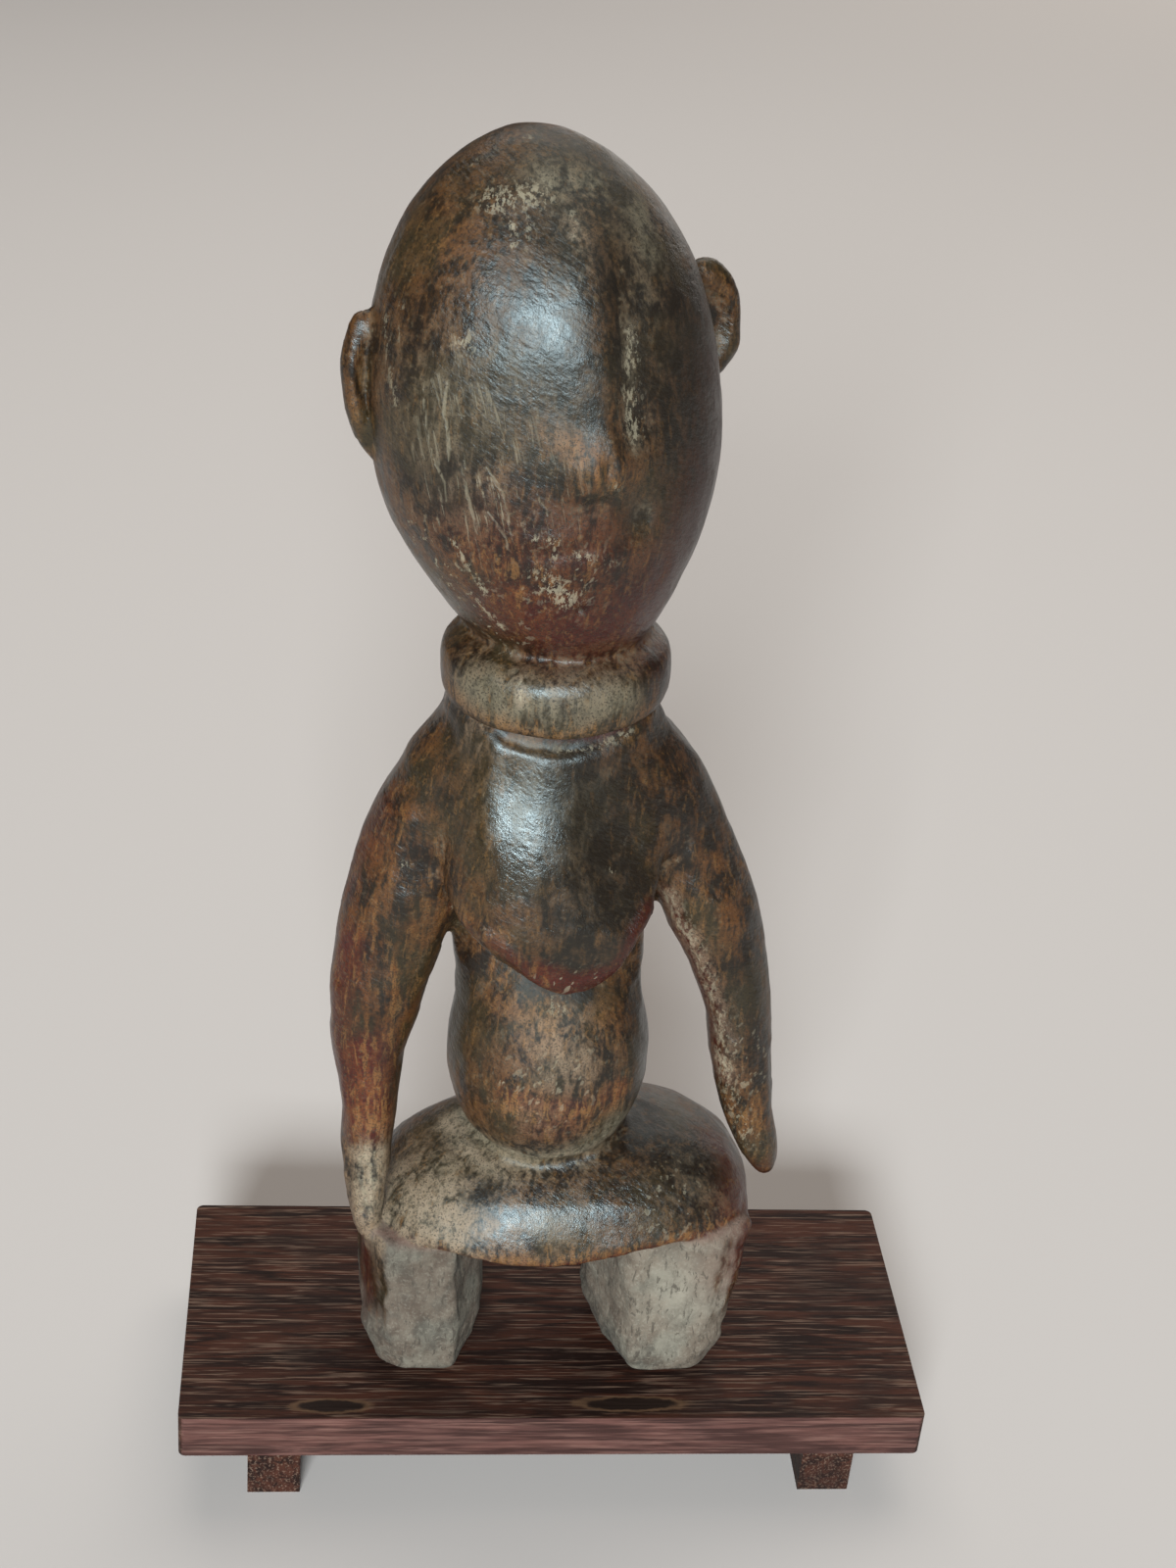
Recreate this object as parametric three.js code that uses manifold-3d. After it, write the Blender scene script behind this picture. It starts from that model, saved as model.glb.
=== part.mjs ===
// Carved wooden ancestor figure on a low wooden stand. Millimetres, +Z up, the figure looks along -Y.
import * as THREE from "three";
import { mergeVertices } from "three/addons/utils/BufferGeometryUtils.js";
import Module from "manifold-3d";

const wasm = await Module();
wasm.setup();
const { Manifold, Mesh: SolidMesh } = wasm;

// Stand: one board on two battens, all of plain rectangular section.
const BOARD_WIDTH = 300;
const BOARD_DEPTH = 126;
const BOARD_THICK = 20;
const BOARD_CORNER = 3;
const BATTEN_WIDTH = 21;
const BATTEN_HEIGHT = 25;
const BATTEN_SETBACK = 4;
const BATTEN_LEFT_X = -112.3;
const BATTEN_RIGHT_X = 113.5;
const BOARD_TOP = BATTEN_HEIGHT + BOARD_THICK;

// Head: a tall egg, widest at the brow, turned and tipped a little.
const HEAD_CENTRE = [-26.4, -2, 429.4];
const HEAD_TURN = [16, 8.7];
const HEAD = { a: 57.8, front: 56, back: 56, up: 114.4, down: 84.9, taperX: 0.29, taperY: 0.05, nv: 1.8 };
const RIDGE_HEIGHT = 3.2;
const RIDGE_HALF_WIDTH = 7;

// Ears: upright lobes, flat from front to back, with a hollow cut in their front.
const EAR_LEFT = { at: [-56.5, 3, 39], a: 10, thick: 6.5, tall: 26 };
const EAR_RIGHT = { at: [60, 4, 37.5], a: 13.5, thick: 6.5, tall: 21.5 };
const EAR_HOLLOW_SHARE = 0.68;

// Collar round the neck.
const COLLAR_CENTRE = [-20, -12, 360.3];
const COLLAR = { a: 40, front: 38, back: 38, up: 12.2, down: 13, nh: 2, nv: 3.6 };

// Trunk parts set on the leaning axis of the body.
const CHEST_CENTRE = [-15.5, -17, 284];
const CHEST = { a: 40, front: 33, back: 30, up: 62, down: 61, nh: 2.2 };
const BELLY_CENTRE = [-10.8, -6, 192];
const BELLY = { a: 39, front: 37, back: 28, up: 52, down: 55, taperX: -0.03 };
const HIPS_CENTRE = [-0.5, -2, 113];
const HIPS = { a: 75, front: 50, back: 46, up: 41, down: 3, nh: 2.7 };
const TRUNK_LEAN = 4.4;
const TRUNK_TURN = 3;

// Stations of the swept parts: height, centre x, centre y, half width, half depth to front, to back.
const SHOULDERS = [
  [348, -20, -11, 36, 32, 32], [335, -18.6, -9, 40.2, 32, 33], [323, -16.5, -8, 45, 32, 33],
  [310, -16.2, -7, 51, 31, 34], [298, -17, -6, 54, 28, 34], [285, -16.5, -6, 54, 24, 32],
  [275, -16, -6, 50, 18, 26], [266, -15.5, -6, 40, 8, 12],
];
const TRUNK = [
  [300, -17, -5, 40, 22, 22], [275, -16.5, -5, 41, 24, 24], [260, -15.5, -5, 38, 25, 26],
  [245, -14.3, -5, 36.5, 26, 28], [232, -13.2, -5, 36, 24, 29], [205, -12, -5, 30, 20, 30],
  [167, -8.5, -3, 26, 20, 29], [135, -5, -1, 28, 20, 26],
];
const ARM_LEFT = [
  [338, -42, -9, 9, 12, 14], [323, -50.8, -8, 16.8, 20, 21], [310, -56.4, -7.5, 17.8, 21, 22],
  [298, -60.8, -7.5, 19.6, 21, 22], [284, -63.8, -8, 21.5, 20, 21], [271, -66.5, -10, 22, 19.5, 20],
  [260, -69, -11, 22, 18.5, 18.5], [249, -71.8, -12, 20.8, 17, 17], [235.6, -74.6, -13, 19.2, 16, 16],
  [222, -77.3, -14, 17.8, 15, 15], [208, -78.5, -15, 16, 14, 14], [194.5, -79.7, -16, 13.7, 13, 13],
  [180.5, -79.5, -17, 11.4, 12, 12], [166, -79.1, -18, 10, 11, 11], [151.6, -79.8, -19, 9.6, 10, 10],
  [136.8, -79.7, -20, 8.2, 8.5, 8.5], [125, -79, -21, 5.8, 6, 6], [118, -78.5, -22, 2.5, 3, 3],
];
const ARM_RIGHT = [
  [338, 6, -9, 9, 12, 14], [323, 15.6, -8, 16.4, 20, 21], [310, 22.8, -7.5, 17.6, 21, 22],
  [298, 27, -7.5, 19.4, 21, 22], [284, 32.8, -8, 19.8, 20, 21], [271, 39.2, -10, 18.9, 19.5, 20],
  [262, 43.3, -11, 18.3, 18.5, 18.5], [252, 46.9, -12, 17.8, 16.5, 16.5],
  [238.6, 52.6, -13, 15.4, 15, 15], [225, 57.1, -14, 14, 14, 14], [211, 60.5, -15, 12.6, 13.5, 13.5],
  [197, 62.6, -16, 12.2, 13, 13], [183, 65.2, -17, 11.4, 12, 12], [168.4, 68.4, -18, 9.8, 10.5, 10.5],
  [154, 73, -19, 8.3, 9, 9], [145, 76, -19.5, 6, 7, 7], [139, 78, -20, 2.5, 3, 3],
];
const LEG_LEFT = [
  [118, -52, -5, 26, 33, 33], [100, -52, -5, 27, 33, 33], [75, -52, -5, 24.5, 33, 33],
  [53, -51.5, -5, 23, 32, 32], [BOARD_TOP, -51, -5, 21, 31, 31],
];
const LEG_RIGHT = [
  [118, 46, -5, 27, 33, 33], [100, 47, -5, 29, 33, 33], [75, 46, -5, 28, 33, 33],
  [53, 45, -5, 26, 33, 33], [BOARD_TOP, 45, -5, 24, 32.5, 32],
];

const rad = THREE.MathUtils.degToRad;
const power = (v, n) => Math.sign(v) * Math.pow(Math.abs(v), 2 / n);

function turned(turn, lean) {
  // turn swings the front toward +X, lean tips the top toward -X
  const swing = new THREE.Matrix4().makeRotationZ(rad(turn));
  const tip = new THREE.Matrix4().makeRotationY(rad(-lean));
  return tip.multiply(swing);
}

function solid(geometry) {
  geometry.deleteAttribute("normal");
  geometry.deleteAttribute("uv");
  const merged = mergeVertices(geometry, 1e-4);
  return new Manifold(new SolidMesh({
    numProp: 3,
    vertProperties: new Float32Array(merged.attributes.position.array),
    triVerts: new Uint32Array(merged.index.array),
  }));
}

function egg(size, matrix, centre, around, along, relief) {
  const { a, front, back, up, down, taperX = 0, taperY = 0, nh = 2, nv = 2 } = size;
  const geometry = new THREE.SphereGeometry(1, around, along);
  const position = geometry.attributes.position;
  const point = new THREE.Vector3();
  for (let i = 0; i < position.count; i++) {
    point.fromBufferAttribute(position, i);
    const level = Math.min(1, Math.max(-1, point.y));
    const girth = Math.sqrt(Math.max(0, 1 - level * level));
    const w = power(level, nv);
    const r = power(girth, nv);
    const side = girth > 1e-6 ? r * power(point.x / girth, nh) : 0;
    const depth = girth > 1e-6 ? r * power(-point.z / girth, nh) : 0;
    const x = a * side * (1 + taperX * w);
    const y = (depth > 0 ? back : front) * depth * (1 + taperY * w);
    const z = (w > 0 ? up : down) * w;
    point.set(x, y, z);
    if (relief) point.multiplyScalar(1 + relief(point) / Math.max(point.length(), 1));
    position.setXYZ(i, point.x, point.y, point.z);
  }
  geometry.applyMatrix4(matrix);
  geometry.translate(...centre);
  return solid(geometry);
}

function sweep(stations, around, n = 2.1) {
  const rows = stations.length - 1;
  const geometry = new THREE.CylinderGeometry(1, 1, 1, around, rows);
  const position = geometry.attributes.position;
  for (let i = 0; i < position.count; i++) {
    const row = Math.round((0.5 - position.getY(i)) * rows);
    const [z, cx, cy, half, front, back] = stations[row];
    const side = power(position.getX(i), n);
    const depth = power(-position.getZ(i), n);
    position.setXYZ(i, cx + half * side, cy + (depth > 0 ? back : front) * depth, z);
  }
  return solid(geometry);
}

function faceRelief(point) {
  // a low ridge down the middle of the face, from the brow to the worn nose
  if (point.y > 0) return 0;
  const across = Math.exp(-((point.x / RIDGE_HALF_WIDTH) ** 2));
  const top = THREE.MathUtils.smoothstep(100 - point.z, 0, 40);
  const end = THREE.MathUtils.smoothstep(point.z, -30, -5);
  return RIDGE_HEIGHT * across * top * end;
}

function onHead(local, shift = [0, 0, 0]) {
  const sum = new THREE.Vector3(local[0] + shift[0], local[1] + shift[1], local[2] + shift[2]);
  sum.applyMatrix4(turned(...HEAD_TURN)).add(new THREE.Vector3(...HEAD_CENTRE));
  return sum.toArray();
}

function ear({ at, a, thick, tall }) {
  const k = EAR_HOLLOW_SHARE;
  const lobe = egg({ a, front: thick, back: thick, up: tall, down: tall }, turned(...HEAD_TURN), onHead(at), 18, 14);
  const bowl = { a: a * k, front: thick * k, back: thick * k, up: tall * k, down: tall * k };
  return lobe.subtract(egg(bowl, turned(...HEAD_TURN), onHead(at, [0, -thick * 0.85, 0]), 14, 10));
}

function figureSolid() {
  const trunkTurn = turned(TRUNK_TURN, TRUNK_LEAN);
  const pieces = [
    egg(HEAD, turned(...HEAD_TURN), HEAD_CENTRE, 44, 26, faceRelief),
    ear(EAR_LEFT),
    ear(EAR_RIGHT),
    egg(COLLAR, turned(3, 2), COLLAR_CENTRE, 36, 10),
    egg(CHEST, turned(3, 9), CHEST_CENTRE, 30, 18),
    egg(BELLY, trunkTurn, BELLY_CENTRE, 30, 18),
    egg(HIPS, turned(3, 3), HIPS_CENTRE, 40, 14),
    sweep(SHOULDERS, 36),
    sweep(TRUNK, 26),
    sweep(ARM_LEFT, 20),
    sweep(ARM_RIGHT, 20),
    sweep(LEG_LEFT, 24),
    sweep(LEG_RIGHT, 24),
  ];
  return Manifold.union(pieces);
}

function toGeometry(body) {
  const mesh = body.getMesh();
  const geometry = new THREE.BufferGeometry();
  geometry.setAttribute("position", new THREE.BufferAttribute(new Float32Array(mesh.vertProperties), 3));
  geometry.setIndex(new THREE.BufferAttribute(new Uint32Array(mesh.triVerts), 1));
  return geometry;
}

function boardGeometry() {
  const x = BOARD_WIDTH / 2 - BOARD_CORNER;
  const y = BOARD_DEPTH / 2 - BOARD_CORNER;
  const outline = new THREE.Shape();
  outline.absarc(x, y, BOARD_CORNER, 0, Math.PI / 2);
  outline.absarc(-x, y, BOARD_CORNER, Math.PI / 2, Math.PI);
  outline.absarc(-x, -y, BOARD_CORNER, Math.PI, 1.5 * Math.PI);
  outline.absarc(x, -y, BOARD_CORNER, 1.5 * Math.PI, 2 * Math.PI);
  const options = { depth: BOARD_THICK, bevelEnabled: false, curveSegments: 4 };
  return new THREE.ExtrudeGeometry(outline, options).translate(0, 0, BATTEN_HEIGHT);
}

function battenGeometry(x) {
  const length = BOARD_DEPTH - 2 * BATTEN_SETBACK;
  return new THREE.BoxGeometry(BATTEN_WIDTH, length, BATTEN_HEIGHT).translate(x, 0, BATTEN_HEIGHT / 2);
}

function wood(name, color, roughness) {
  const material = new THREE.MeshStandardMaterial({ color, roughness, metalness: 0 });
  material.name = name;
  return material;
}

function node(name, geometry, material) {
  const mesh = new THREE.Mesh(geometry, material);
  mesh.name = name;
  return mesh;
}

const group = new THREE.Group();
group.name = "ancestor_figure";
group.add(node("figure", toGeometry(figureSolid()), wood("patinated_wood", 0x4f4133, 0.5)));
group.add(node("stand_board", boardGeometry(), wood("board_wood", 0x2e2320, 0.6)));
group.add(node("stand_batten_left", battenGeometry(BATTEN_LEFT_X), wood("batten_wood", 0x2b211e, 0.65)));
group.add(node("stand_batten_right", battenGeometry(BATTEN_RIGHT_X), wood("batten_wood", 0x2b211e, 0.65)));

export default group;
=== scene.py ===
"""Carved wooden ancestor figure on its low board stand: the visual model, in the CAD part's own frame."""

import math

import bpy
import numpy as np
import openvdb
from mathutils import Matrix, Vector, noise
from mathutils.kdtree import KDTree


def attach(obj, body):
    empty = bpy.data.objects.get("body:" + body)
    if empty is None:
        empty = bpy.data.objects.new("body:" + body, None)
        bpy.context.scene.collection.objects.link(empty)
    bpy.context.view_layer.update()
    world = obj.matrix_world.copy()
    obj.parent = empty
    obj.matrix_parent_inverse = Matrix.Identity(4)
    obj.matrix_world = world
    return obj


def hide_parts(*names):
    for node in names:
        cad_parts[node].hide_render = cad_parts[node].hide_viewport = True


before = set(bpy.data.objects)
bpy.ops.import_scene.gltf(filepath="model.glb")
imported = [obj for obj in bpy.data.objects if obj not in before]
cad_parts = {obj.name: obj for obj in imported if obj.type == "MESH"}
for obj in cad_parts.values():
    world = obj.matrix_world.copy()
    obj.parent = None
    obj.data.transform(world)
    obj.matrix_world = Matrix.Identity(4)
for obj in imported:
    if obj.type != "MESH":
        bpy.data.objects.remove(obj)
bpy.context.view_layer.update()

# Sizes and places are in millimetres up to where the meshes are made. Left and right are the viewer's.
MM = 0.001
VOXEL = 1.7
GRID_LOW, GRID_HIGH = (-112.0, -68.0, 41.0), (92.0, 66.0, 548.0)
BOARD_TOP = 45.0

# The eggs that the figure is carved from, with the sizes of the solids: where each one sits, how many degrees
# it swings and leans, its half sizes, how it narrows with height, and how square it is across and upwards.
HEAD_TURN = (16, 8.7)
HEAD = dict(centre=(-26.4, -2, 429.4), turn=HEAD_TURN, half=57.8, front=56, back=56, up=114.4, down=84.9,
            taper_x=0.29, taper_y=0.05, square_up=1.8)
COLLAR = dict(centre=(-20, -12, 360.3), turn=(3, 2), half=40.4, front=38, back=38, up=14.8, down=19,
              square_up=3.3)
CHEST = dict(centre=(-14.5, -16, 272), turn=(3, 9), half=43, front=43, back=30, up=95, down=58,
             square_across=2.9, square_up=1.5)
BELLY = dict(centre=(-10.8, -6, 192), turn=(3, 4.4), half=39, front=37, back=28, up=52, down=55,
             taper_x=-0.03)
HIPS = dict(centre=(-0.5, -2, 113), turn=(3, 3), half=76, front=48, back=46, up=41, down=30,
            square_across=2.7)

# Ears, on the head's own axes: centre, half width, half height. Each has a smaller hollow cut in its front.
EARS = (((-56.5, 3, 39), 10, 26), ((60, 4, 37.5), 13.5, 21.5))
EAR_DEPTH, HOLLOW_DEPTH, HOLLOW_FORWARD, HOLLOW_SHARE = 6.5, 4.4, 5.5, 0.68

# Swellings and pits of the face, on the head's own axes: across and up, half width, half height, height.
FACE = {
    "forehead": ((-12, 62), 46, 30, 3.0),
    "nose": ((0, 20), 11, 9, 5.4),
    "gouge": ((-0.5, 21), 2.2, 4.5, -3.6),
    "cheek_pit": ((12, -1), 5.5, 5.5, -2.4),
    "chin_hole": ((-9, -32), 1.9, 1.7, -3.6),
    "upper_lip": ((-19, -1.5), 9, 2.2, 1.2),
    "mouth": ((-13, -7), 17, 2.6, -1.2),
    "lower_lip": ((-10, -13), 17, 4.5, 1.0),
}
NOSE_UNDERSIDE = (7, 13)
# The keel drifts to the right as it rises, and falls away wider on its left. The groove runs to its right.
KEEL_START, KEEL_DRIFT, KEEL_FOOT, KEEL_TALL = 1.5, 9, 20, 82
KEEL_HEIGHT, KEEL_LEFT, KEEL_RIGHT = 3.0, 13.0, 6.0
GROOVE_DEPTH, GROOVE_WIDTH, GROOVE_OFFSET = 1.6, 6.0, 10

# Stations of the swept forms: height, centre x, centre y, half width, half depth to front, to back.
SHOULDERS = (
    (348, -20, -11, 36, 26, 32), (335, -18.6, -9, 40.2, 28, 33), (323, -16.5, -8, 45, 28, 33),
    (310, -16.2, -7, 51, 28, 34), (298, -17, -6, 54, 27, 34), (285, -16.5, -6, 54, 24, 31),
    (275, -16, -6, 50, 18, 27), (266, -15.5, -6, 40, 8, 19),
)
TRUNK = (
    (300, -17, -5, 40, 18, 22), (275, -16.5, -5, 41, 17, 24), (260, -15.5, -5, 38, 17, 26),
    (245, -14.3, -5, 36.5, 19, 28), (232, -13.2, -5, 36, 20, 29), (205, -12, -5, 30, 20, 30),
    (167, -8.5, -3, 26, 20, 29), (135, -5, -1, 28, 20, 26),
)
ARM_LEFT = (
    (338, -42, -9, 9, 12, 14), (323, -50.8, -8, 16.8, 20, 21), (310, -56.4, -7.5, 17.8, 21, 22),
    (298, -60.8, -7.5, 19.6, 21, 22), (284, -63.8, -8, 21.5, 20, 21), (271, -66.5, -10, 22, 19.5, 20),
    (260, -69, -11, 22, 18.5, 18.5), (249, -71.8, -12, 20.8, 17, 17), (235.6, -74.6, -13, 19.2, 16, 16),
    (222, -77.3, -14, 17.8, 15, 15), (208, -78.5, -15, 16, 14, 14), (194.5, -79.7, -16, 13.7, 13, 13),
    (180.5, -79.5, -17, 11.4, 12, 12), (166, -79.1, -18, 10, 11, 11), (151.6, -79.8, -19, 9.6, 10, 10),
    (136.8, -79, -22, 8.4, 8.5, 8.5), (125, -79, -25, 6.6, 7, 7), (116, -78.5, -28, 4.5, 5, 5),
    (111, -78, -30, 2.5, 3, 3),
)
ARM_RIGHT = (
    (338, 6, -9, 9, 12, 14), (323, 15.6, -8, 16.4, 20, 21), (310, 22.8, -7.5, 17.6, 21, 22),
    (298, 27, -7.5, 19.4, 21, 22), (284, 32.8, -8, 19.8, 20, 21), (271, 39.2, -10, 18.9, 19.5, 20),
    (262, 43.3, -11, 18.3, 18.5, 18.5), (252, 46.9, -12, 17.8, 16.5, 16.5),
    (238.6, 52.6, -13, 15.4, 15, 15), (225, 57.1, -14, 14, 14, 14), (211, 60.5, -15, 12.6, 13.5, 13.5),
    (197, 62.6, -16, 12.2, 13, 13), (183, 65.2, -17, 11.4, 12, 12), (168.4, 68.4, -18, 9.8, 10.5, 10.5),
    (154, 73, -19, 8.3, 9, 9), (145, 76, -19.5, 6, 7, 7), (139, 78, -20, 2.5, 3, 3),
)
ARM_SQUARE = 1.9

# The two broad cuts that meet on the keel of the chest: a point on each and the way it faces.
CHEST_PLANES = (
    ((-30, -45, 320), (-0.11, -0.884, 0.456)),
    ((-19, -46.5, 320), (0.42, -0.82, 0.39)),
)
# Lines, as factors of x and of z and an offset, that bound the chest to the left and right of its point.
CHEST_EDGES = ((-0.636, -0.772, 178.3), (0.913, -0.407, 98.2))
# The edge under the collar that the neck is cut in to: height, how it bows up from its middle, depth.
NECK_TOP, NECK_BOW, NECK_MIDDLE, NECK_DEPTH = 337.5, 0.009, -20, 2.6
# How far below its centre the collar ends, on its own axes.
COLLAR_UNDERSIDE = 12.4
# The lower rim of the hips, which arches over the gap between the legs, and the flat of their left side.
RIM_X = (-84, -66, -50, -36, -23, -7, 4, 15, 26, 38, 52, 66, 82)
RIM_Z = (114.5, 115.6, 116.2, 115.4, 113.7, 112.6, 113.6, 115.8, 118.0, 119.4, 120.0, 119.6, 118.0)
HIPS_FLAT = (-0.988, -0.155, -79.0)

# Split faces of the stumps of the legs: direction of each face round the axis in degrees, distance, slope.
LEG_LEFT_AXIS = (-54, -5)
LEG_LEFT_FACES = (
    (-92, 34.8, 0.02), (-23.5, 25.1, -0.04), (0, 24.0, 0.0), (45, 30, 0.0), (90, 33, 0.0), (135, 28, 0.0),
    (180, 26, 0.04), (191.7, 26.5, 0.04), (186, 30.2, 0.32), (228, 34.5, 0.06),
)
LEG_RIGHT_AXIS = (46, -5)
LEG_RIGHT_FACES = (
    (-88, 34.8, 0.0), (206.6, 32.2, 0.06), (180, 33, 0.1), (200, 38, 0.35), (135, 32, 0.0), (90, 33, 0.0),
    (45, 27, 0.0), (0, 24.5, 0.1), (-24, 31.5, 0.12), (-55, 35.5, 0.0),
)
# The distances hold at the middle of the leg. Its top laps into the hips, and its foot is rounded in.
LEG_MIDDLE, LEG_LAP, FOOT_TOP, FOOT_TALL, FOOT_ROUNDING = 75, 1.0, 60, 15, 3.6
# Heights over which one kind of surface goes over into the next.
FOOT_FROM, LEG_END, NECK_FROM, HEAD_FROM = (45.5, 49), (112, 122), (340, 346), (368, 384)
# On the outer sides of the legs the patina comes down to here.
PATINA_FROM = (62, 84)

# Paths over the carving that more than one stroke follows.
LIP = ((-50, -26, 263), (-47, -46, 274), (-40, -53, 272), (-33, -57, 268), (-28, -57, 262), (-22, -55, 254),
       (-15, -51, 247), (-8, -50, 244), (-1, -50, 245), (4, -52, 254), (7, -54, 263), (11, -53, 273),
       (16, -46, 280))
BEAD_HEIGHT, BEAD_WIDTH = 1.5, 3.0
CREASE = ((-41, 1, 146), (-32, -22, 152), (-18, -31, 153), (0, -33, 157), (16, -29, 168))
ARM_EDGE = ((26, -24, 270), (37, -26, 250), (50, -26, 216), (56, -26, 190))
LEFT_TIP = ((-78, -28, 150), (-78, -30, 128))
COLLAR_SCUFF = ((-35, -45, 372), (-35, -49, 362))

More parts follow.
